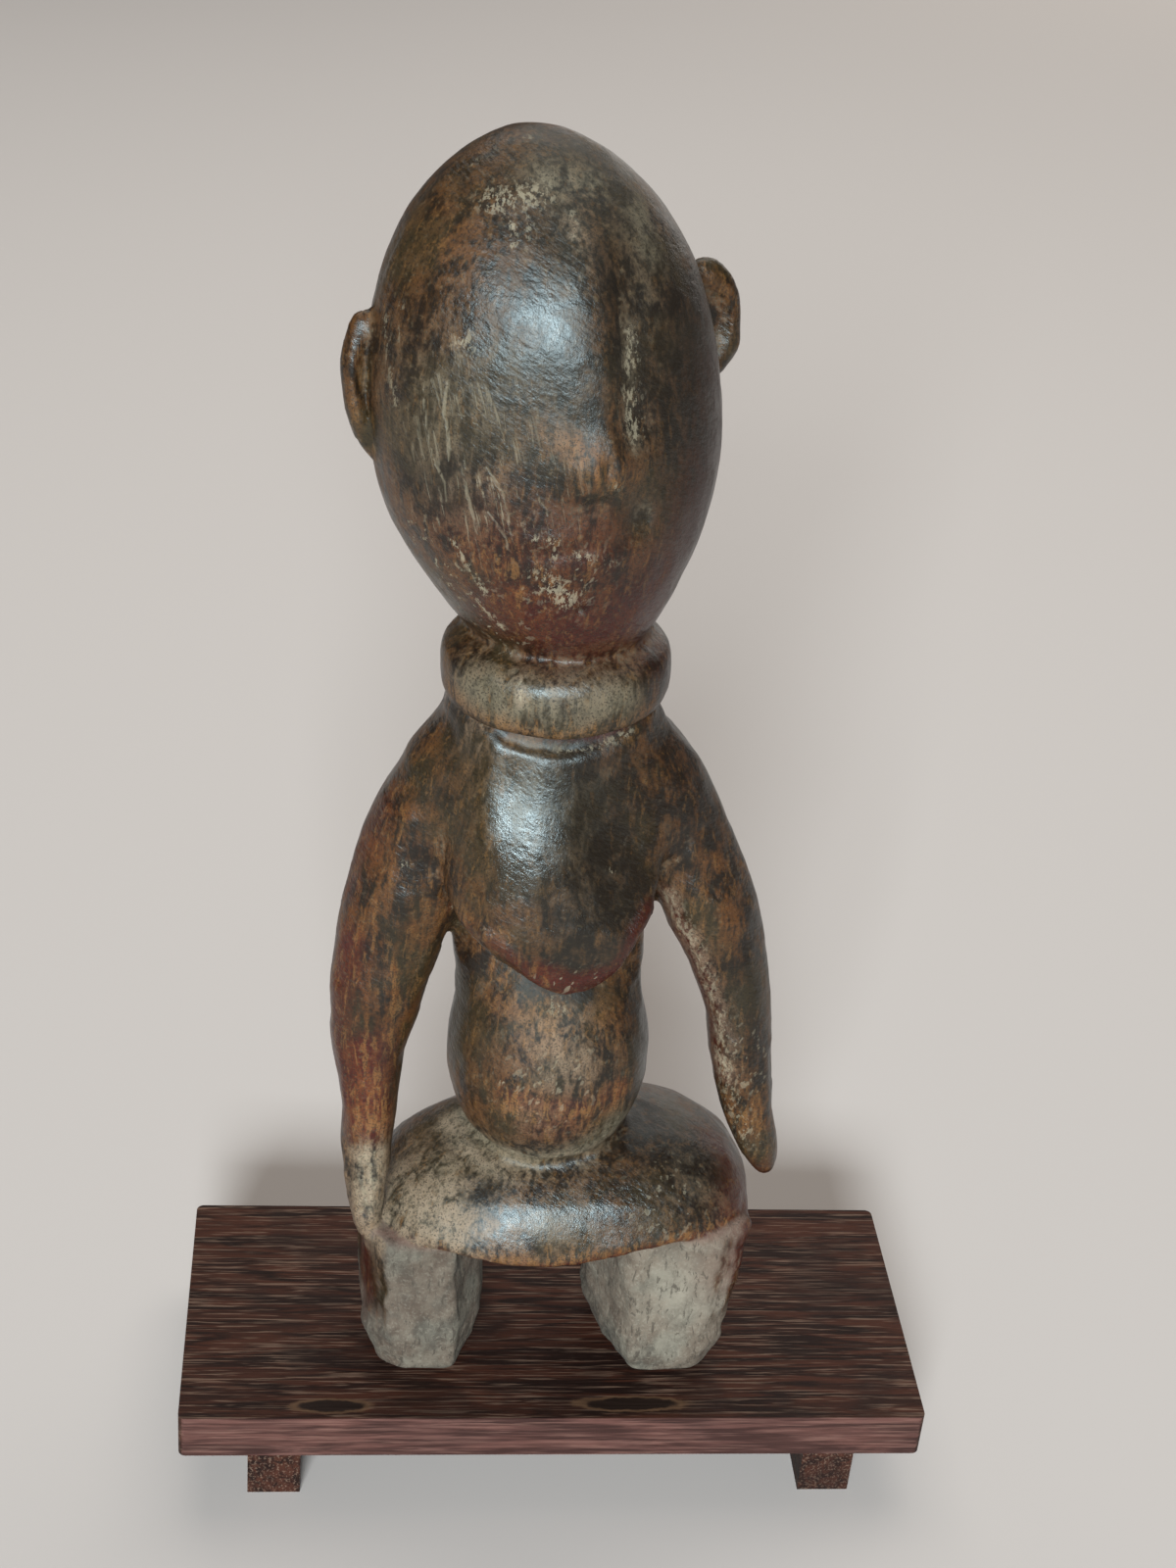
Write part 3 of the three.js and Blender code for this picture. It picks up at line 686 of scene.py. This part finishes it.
def tool_work(points, normals, web, on_leg):
    """How far each vertex comes out of the smooth form: swells, cuts, splinters and the bead of the lip."""
    height = points[:, 2]
    leg = on_leg * wane(height, *LEG_END)
    head = ease(height, *HEAD_FROM)
    neck = ease(height, *NECK_FROM) * (1 - head)
    shine = marks(points, MARKS["polish"])
    broad = web.spread(normals, 4)
    broad /= np.linalg.norm(broad, axis=1)[:, None]
    large = web.spread(tool_facets(points, broad, size=15, seed=0.37), 2)
    small = web.spread(tool_facets(points, broad, size=7, seed=0.11), 1)
    lift = 0.55 * (1 - 0.7 * shine) * wander(points, size=34, octaves=3, seed=3.0)
    lift += (0.5 - 0.25 * head + 0.3 * leg) * (1 - 0.8 * np.maximum(shine, neck)) * large
    lift += (0.16 + 0.1 * leg) * small
    splinters = wander(points, size=7, octaves=3, seed=9.0)
    lift += (0.10 + 0.5 * leg) * splinters + 1.3 * leg * wander(points, size=17, octaves=2, seed=5.0)
    lift += BEAD_HEIGHT * marks(points, [(BEAD_WIDTH, 1.0, *LIP)])
    return lift * ease(height, *FOOT_FROM)


def carve_figure():
    """The figure as one mesh: its field's surface, then the tool work on it, then its masks."""
    low, high = np.array(GRID_LOW), np.array(GRID_HIGH)
    counts = np.ceil((high - low) / VOXEL).astype(int)
    axes = [low[i] + VOXEL * np.arange(counts[i]) for i in range(3)]
    grid = (axes[0][:, None, None], axes[1][None, :, None], axes[2][None, None, :])
    points, quads = skin(figure_field(grid), low, VOXEL)
    web = Web(quads, len(points))
    points = web.spread(points, 1)
    normals = vertex_normals(points, quads)
    at = tuple(points[:, k][None, None, :] for k in range(3))
    others = np.minimum(hips_field(at), sweep(at, ARM_LEFT, ARM_SQUARE))
    on_leg = ease(others - stumps(at), -0.5, 1.5)[0, 0]
    moved = points + normals * tool_work(points, normals, web, on_leg)[:, None]
    moved[:, 2] = np.maximum(moved[:, 2], BOARD_TOP)
    piece = mesh_object("carved_figure", (moved * MM).tolist(), quads.tolist())
    paint_masks(piece, web, moved, vertex_normals(moved, quads), on_leg)
    return piece


class Value:
    """One output of a finish's nodes. Arithmetic on it adds Math nodes."""

    def __init__(self, finish, socket):
        self.finish, self.socket = finish, socket

    def _math(self, operation, *parts, clamp=False):
        settings = {"operation": operation, "use_clamp": clamp}
        return self.finish.node("ShaderNodeMath", settings, dict(enumerate(parts)))

    def __add__(self, other):
        return self._math("ADD", self, other)

    def __radd__(self, other):
        return self._math("ADD", other, self)

    def __sub__(self, other):
        return self._math("SUBTRACT", self, other)

    def __rsub__(self, other):
        return self._math("SUBTRACT", other, self)

    def __mul__(self, other):
        return self._math("MULTIPLY", self, other)

    def __rmul__(self, other):
        return self._math("MULTIPLY", other, self)

    def clamped(self):
        """This value held between 0 and 1."""
        return self._math("ADD", self, 0.0, clamp=True)

    def most(self, other):
        """The larger of this value and another."""
        return self._math("MAXIMUM", self, other)


class Finish:
    """A material built up from nodes, in maker's terms."""

    def __init__(self, name):
        self.material = bpy.data.materials.new(name)
        self.material.use_nodes = True
        self.tree = self.material.node_tree
        self.shader = self.tree.nodes["Principled BSDF"]

    def node(self, kind, settings=None, sockets=None, out=0):
        """A node of this type, with its settings and then its sockets' values or links."""
        made = self.tree.nodes.new(kind)
        for key, value in (settings or {}).items():
            setattr(made, key, value)
        for key, value in (sockets or {}).items():
            self.feed(made.inputs[key], value)
        return Value(self, made.outputs[out])

    def feed(self, socket, value):
        """Links a value to a socket, or sets the socket to a number, a place or a colour."""
        if isinstance(value, Value):
            self.tree.links.new(value.socket, socket)
        elif socket.type == "RGBA" and len(value) == 3:
            socket.default_value = (*value, 1)
        else:
            socket.default_value = value

    def place(self, stretch=(1, 1, 1), turn=0):
        """Place on the piece in millimetres, turned round the Y axis by degrees and then stretched."""
        coordinates = self.node("ShaderNodeTexCoord", out="Object")
        sockets = {"Vector": coordinates, "Rotation": (0, math.radians(turn), 0),
                   "Scale": tuple(MM / v for v in stretch)}
        return self.node("ShaderNodeMapping", {"vector_type": "TEXTURE"}, sockets)

    def noise(self, size, detail=3, rough=0.55, stretch=(1, 1, 1), warp=0.0, turn=0):
        """Noise with features of about size millimetres."""
        sockets = {"Vector": self.place(stretch, turn), "Scale": 1.0 / size, "Detail": detail,
                   "Roughness": rough, "Distortion": warp}
        return self.node("ShaderNodeTexNoise", {}, sockets, out="Fac")

    def mask(self, name):
        """One of the masks that the carving carries."""
        return self.node("ShaderNodeAttribute", {"attribute_name": name}, out="Fac")

    def between(self, value, low, high):
        """0 where value is under low, 1 over high."""
        return self.node("ShaderNodeMapRange", {"interpolation_type": "SMOOTHSTEP"},
                         {"Value": value, "From Min": low, "From Max": high})

    def mix(self, amount, a, b):
        """From colour a to colour b."""
        return self.node("ShaderNodeMix", {"data_type": "RGBA"}, {0: amount, 6: a, 7: b}, out=2)

    def coats(self, color, *coats):
        """A colour with coats laid over it in turn, each one an amount and a colour."""
        for amount, over in coats:
            color = self.mix(amount, color, over)
        return color

    def relief(self, height, distance):
        """A normal that stands for relief of this height, distance metres deep."""
        sockets = {"Height": height, "Distance": distance, "Strength": 1.0}
        return self.node("ShaderNodeBump", {}, sockets, out="Normal")


def film(f, mask, mottle, pull, low, high):
    """How much of a coloured film is left: its mask, broken up by the mottle. Pull closes the gaps again."""
    return (mask * f.between(mottle + pull * mask, low, high)).clamped()


def patina_color(f, m, grain):
    """The smoked, oiled and handled wood: brown mottle under red film with painted red reflection, tan, ochre
    and dusty films, and painted shade.
    """
    mottle, clouds, ochre, painted_shade = grain["mottle"], grain["clouds"], m["ochre"], m["painted_shade"]
    tan = f.noise(2.6, 5, 0.7, (1, 1, 0.22), warp=0.5) + 0.07 * ochre + 0.03 * m["edge"] - 0.05 * painted_shade
    smoked = f.mix(f.between(mottle, 0.44, 0.60), SMOKE_DARK, SMOKE_LIGHT)
    return f.coats(
        # Where shade is painted, the mottle leans to the dark brown.
        f.mix(f.between(mottle + 0.02 - 0.10 * painted_shade, 0.45, 0.58), DARK_BROWN, WARM_BROWN),
        (f.between(clouds, 0.45, 0.60) * 0.6, OLIVE_BROWN),
        (m["smoky"] * 0.75, smoked),
        # Red film and painted red reflection, with painted shade under the collar.
        (film(f, m["red"], mottle, 0.34, 0.50, 0.70) * 0.85, RED_FILM_AND_REFLECTION),
        (f.between(tan, 0.54, 0.64) * (0.35 + 0.4 * ochre) * (1 - 0.7 * m["smoky"]), TAN),
        (film(f, ochre, mottle, 0.0, 0.44, 0.60) * 0.55, OCHRE),
        (film(f, m["grey"], mottle, 0.10, 0.46, 0.62) * 0.6, GREY_FILM),
        (film(f, m["khaki"], mottle, 0.06, 0.45, 0.62) * 0.8, KHAKI),
        (f.between(grain["speck"], 0.56, 0.64) * 0.35 * (1 - painted_shade), PALE_SPECK),
        (f.between(f.noise(0.8, 3, 0.7), 0.52, 0.60) * 0.7, GRIME),
        # Painted shade laid over all, where shade falls.
        (painted_shade * 0.7, PAINTED_SHADE_BROWN),
    )


def worn_spots(f, m, grain):
    """Scratches, flecks, and in all how far the patina is off and bare wood shows."""
    lines = f.noise(1.1, 2, 0.5, (0.8, 0.15, 0.075), warp=0.6, turn=-14)
    scratch = (m["scored"] * f.between(lines, 0.56, 0.62) * f.between(grain["blotch"], 0.42, 0.56)).clamped()
    scratch = scratch.most(f.between(m["scratched"] * (0.55 + 0.8 * grain["streak"]), 0.52, 0.82) * 0.8)
    fleck = (m["flecked"] * f.between(f.noise(2.8, 2, 0.6, (1, 1, 0.5), turn=30), 0.61, 0.67)).clamped()
    rubbed = film(f, m["pale"], f.noise(1.8, 4, 0.75, (1, 1, 0.5)), 0.10, 0.56, 0.62)
    dust = (m["hollow"] * f.between(grain["blotch"] * 0.6 + grain["speck"] * 0.4, 0.48, 0.6)).clamped()
    bare = (scratch * 0.36).most(fleck * 0.55).most(rubbed * 0.75).most(dust * 0.12)
    return scratch, fleck, bare


def split_color(f, m, grain, chip, cracks):
    """The pale, dry split wood of the stumps."""
    return f.coats(
        f.mix(f.between(chip, 0.34, 0.66), SPLIT_DARK, SPLIT_LIGHT),
        (f.between(grain["clouds"], 0.40, 0.54) * 0.5, SPLIT_BROWN),
        (f.between(grain["blotch"], 0.50, 0.62) * 0.35, SPLIT_SHADE),
        (f.between(grain["speck"], 0.50, 0.66) * 0.35, SPLIT_SPECK),
        (m["pale"] * 0.5, SPLIT_PALE),
        (m["red"] * 0.5, SPLIT_RED),
        (f.between(cracks, 0.56, 0.63) * 0.7, CRACK),
        # Painted shade on the split wood.
        (m["painted_shade"] * 0.8, SPLIT_PAINTED_SHADE),
    )


def figure_finish():
    """Dark handled patina over brown wood: glossy where worn, dusty in the hollows, bare on the legs."""
    f = Finish("patinated_wood")
    m = {name: f.mask(name) for name in ("leg", "hollow", "edge", *MARKS)}
    grain = {
        "clouds": f.noise(34, 4),
        "blotch": f.noise(8, 5, 0.62, (1, 1, 0.6), warp=0.6),
        "streak": f.noise(2.6, 4, 0.6, (1, 1, 0.2), warp=0.5),
        "speck": f.noise(1.6, 4, 0.7),
    }
    grain["mottle"] = grain["blotch"] * 0.45 + grain["streak"] * 0.35 + grain["speck"] * 0.2
    chip = f.noise(7, 5, 0.62, (1, 1, 0.7), warp=0.4)
    cracks = f.noise(2.2, 4, 0.7, (1, 1, 0.3), warp=0.6)
    scratch, fleck, bare = worn_spots(f, m, grain)
    wood = f.mix(bare, patina_color(f, m, grain), BARE_WOOD)
    f.feed(f.shader.inputs["Base Color"], f.mix(m["leg"], wood, split_color(f, m, grain, chip, cracks)))

    polish, dull = m["polish"], m["dull"]
    rough = 0.29 + 0.12 * f.between(grain["blotch"], 0.4, 0.65) - 0.10 * polish
    rough = rough + 0.4 * bare + 0.18 * m["ochre"] + 0.12 * m["khaki"] + 0.12 * m["grey"] + 0.25 * dull
    rough = rough + (0.88 - rough) * m["leg"]
    f.feed(f.shader.inputs["Roughness"], rough.clamped())
    f.shader.inputs["Specular IOR Level"].default_value = 0.38
    f.shader.inputs["Specular Tint"].default_value = (0.80, 0.97, 1.0, 1)

    cuts = f.noise(2.4, 2, 0.6, (0.45, 0.45, 1.2), warp=0.1, turn=30) * (1 - 0.8 * polish)
    pores = f.noise(0.7, 3, 0.7, (1, 1, 0.35))
    height = cuts * (1 - 0.3 * dull) + grain["speck"] * (0.5 - 0.3 * polish) + pores * 0.25
    height = height - 0.6 * scratch - 0.3 * fleck + m["leg"] * (chip - cracks)
    f.feed(f.shader.inputs["Normal"], f.relief(height, 0.4 * MM))
    return f.material


def knot_gap(f, centre, length, width):
    """Ragged distance from a knot's centre, in half lengths of the knot. Height in metres hardly counts."""
    place = f.place((1 / length, 1 / width, MM))
    at = (centre[0] / length, centre[1] / width, BOARD_TOP * MM)
    gap = f.node("ShaderNodeVectorMath", {"operation": "DISTANCE"}, {0: place, 1: at}, out="Value")
    return gap + 0.5 * f.noise(5, 2)


def board_finish(name, along, knots=()):
    """Dark open-grained hardwood with fine pale pores along the grain, and its knots."""
    f = Finish(name)
    stretch = [1.0, 1.0, 1.0]
    stretch[along] = 0.035
    pores = f.noise(1.1, 3, 0.65, tuple(stretch), warp=0.2)
    stretch[along] = 0.09
    bands = f.noise(6, 4, 0.6, tuple(stretch), warp=1.2)
    clouds = f.noise(34, 3)
    wood = f.coats(
        f.mix(f.between(bands, 0.38, 0.62), BOARD_DARK, BOARD_LIGHT),
        (f.between(pores + 0.12 * clouds, 0.585, 0.68) * 0.6, BOARD_PORE),
        (f.between(clouds, 0.46, 0.60) * 0.5, BOARD_SHADE),
    )
    for knot in knots:
        gap = knot_gap(f, *knot)
        ring, heart = 1 - f.between(gap, 1.25, 1.5), 1 - f.between(gap, 1.0, 1.25)
        wood = f.coats(wood, (ring, KNOT_RING), (heart, KNOT_HEART))
    forward = f.node("ShaderNodeSeparateXYZ", {}, {"Vector": f.place()}, out="Y") * -1.0
    fibre = f.mix(f.between(bands * 0.5 + pores * 0.5, 0.38, 0.62), FRONT_DARK, FRONT_LIGHT)
    f.feed(f.shader.inputs["Base Color"], f.mix(f.between(forward, *FRONT_FACE) * 0.7, wood, fibre))
    f.feed(f.shader.inputs["Roughness"], 0.5 + 0.25 * pores)
    f.shader.inputs["Specular IOR Level"].default_value = 0.15
    f.feed(f.shader.inputs["Normal"], f.relief(bands * 0.3 + pores, 0.4 * MM))
    return f.material


def floor_finish():
    """Matt pale paper under the part."""
    f = Finish("studio_floor")
    f.feed(f.shader.inputs["Base Color"], (0.50, 0.465, 0.435))
    f.shader.inputs["Roughness"].default_value = 0.9
    return f.material


def dress_figure():
    """The carved figure, in place of the CAD part's solid."""
    piece = carve_figure()
    piece.data.materials.append(figure_finish())
    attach(piece, "root")
    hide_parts("figure")


def dress_stand():
    """The board and the battens, which are the CAD part's own nodes."""
    for name, slot, along, knots in STAND:
        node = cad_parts[name]
        node.data.materials.clear()
        node.data.materials.append(board_finish(name + "_finish", along, knots))


def camera():
    """The photograph's viewpoint: in front, a little to the figure's right hand and 31 degrees above."""
    place = (-0.09653, -0.74198, 0.74687)
    yaw, pitch, roll = 0.125, 0.536, 0.091
    forward = Vector((math.sin(yaw) * math.cos(pitch), math.cos(yaw) * math.cos(pitch), -math.sin(pitch)))
    level = Vector((math.cos(yaw), -math.sin(yaw), 0))
    upright = level.cross(forward)
    right = math.cos(roll) * level + math.sin(roll) * upright
    up = math.cos(roll) * upright - math.sin(roll) * level
    data = bpy.data.cameras.new("camera")
    data.lens = 54.56
    data.sensor_width = 36
    data.clip_end = 20
    eye = bpy.data.objects.new("camera", data)
    turn = Matrix((right, up, -forward)).transposed().to_4x4()
    eye.matrix_world = Matrix.Translation(place) @ turn
    bpy.context.scene.collection.objects.link(eye)
    bpy.context.scene.camera = eye


def lamp(name, place, aim, size, power, color, spread=180):
    """A rectangular soft lamp, in metres and watts, that shines within spread degrees."""
    data = bpy.data.lights.new(name, "AREA")
    data.shape = "RECTANGLE"
    data.size, data.size_y = size
    data.energy = power
    data.color = color
    data.spread = math.radians(spread)
    light = bpy.data.objects.new(name, data)
    light.location = place
    light.rotation_euler = (Vector(aim) - Vector(place)).to_track_quat("-Z", "Y").to_euler()
    bpy.context.scene.collection.objects.link(light)


def studio():
    """A plain pale floor, a dim world, light from above and behind, and the window in front."""
    bpy.ops.mesh.primitive_plane_add(size=16)
    floor = bpy.context.object
    floor.name = "studio_floor"
    floor.data.materials.append(floor_finish())
    bpy.context.scene.view_settings.view_transform = "Standard"
    world = bpy.data.worlds.new("studio")
    bpy.context.scene.world = world
    world.use_nodes = True
    background = world.node_tree.nodes["Background"]
    background.inputs["Color"].default_value = (1.0, 0.88, 0.80, 1)
    background.inputs["Strength"].default_value = 0.12
    lamp("skylight", (0.2, 1.2, 2.6), (0, 0, 0.3), (3.2, 2.2), 42, (1.0, 0.96, 0.92))
    lamp("window", (-1.34, -7.94, 3.63), (0, 0, 0.33), (3.3, 1.8), 185, (0.88, 0.95, 1.0), spread=60)
    lamp("backlight", (1.6, 3.4, 1.0), (0, 0, 0.3), (2.4, 1.4), 18, (1.0, 0.93, 0.86))


dress_figure()
dress_stand()
camera()
studio()
